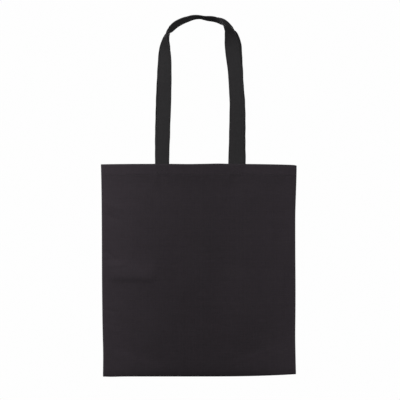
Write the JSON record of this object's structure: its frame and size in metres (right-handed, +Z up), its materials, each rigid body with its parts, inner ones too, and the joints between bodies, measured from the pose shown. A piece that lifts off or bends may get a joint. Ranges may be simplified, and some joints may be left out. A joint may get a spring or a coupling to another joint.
{
  "type": "canvas tote bag",
  "caption": "Flat open-topped canvas tote bag with a hemmed mouth, overlocked inside seams and long flat handles, hung by its handles.",
  "frame": {"origin": "hang point: underside of both straps at the top of the arch, on the middle plane between front and back", "axes": "+Z up, +X to the right as seen from the front, -Y towards the viewer of the bag's front"},
  "size_m": [0.38, 0.055, 0.7052],
  "materials": {
    "canvas": "black plain-weave cotton canvas, matt",
    "strap": "black folded canvas strap, matt",
    "thread": "black sewing thread, slight sheen"
  },
  "bodies": {
    "seams": {"left_side_seam": "canvas", "right_side_seam": "canvas", "bottom_seam": "canvas", "left_overlock_thread": "thread", "right_overlock_thread": "thread", "bottom_overlock_thread": "thread"},
    "bag_front": {"front_panel": "canvas", "front_hem": "canvas", "front_hem_thread": "thread", "front_left_strap_end": "strap", "front_right_strap_end": "strap", "front_left_tack": "thread", "front_right_tack": "thread"},
    "bag_back": {"back_panel": "canvas", "back_hem": "canvas", "back_hem_thread": "thread", "back_left_strap_end": "strap", "back_right_strap_end": "strap", "back_left_tack": "thread", "back_right_tack": "thread"},
    "front_handle": {"front_handle": "strap", "front_handle_outer_thread": "thread", "front_handle_inner_thread": "thread"},
    "back_handle": {"back_handle": "strap", "back_handle_outer_thread": "thread", "back_handle_inner_thread": "thread"}
  },
  "joints": [
    {"name": "front_panel_open", "type": "hinge", "parent": "seams", "child": "bag_front", "pos_m": [0, 0, -0.6942], "axis": [1, 0, 0], "range_deg": [0, 8], "stiffness_Nm_per_rad": 1, "springref_deg": -2.86},
    {"name": "back_panel_open", "type": "hinge", "parent": "seams", "child": "bag_back", "pos_m": [0, 0, -0.6942], "axis": [-1, 0, 0], "range_deg": [0, 8], "stiffness_Nm_per_rad": 1, "springref_deg": -2.86},
    {"name": "front_handle_fold", "type": "hinge", "parent": "bag_front", "child": "front_handle", "pos_m": [0, -0.0193, -0.2817], "axis": [1, 0, 0], "range_deg": [0, 170]},
    {"name": "back_handle_fold", "type": "hinge", "parent": "bag_back", "child": "back_handle", "pos_m": [0, 0.0193, -0.2817], "axis": [-1, 0, 0], "range_deg": [0, 170]}
  ]
}
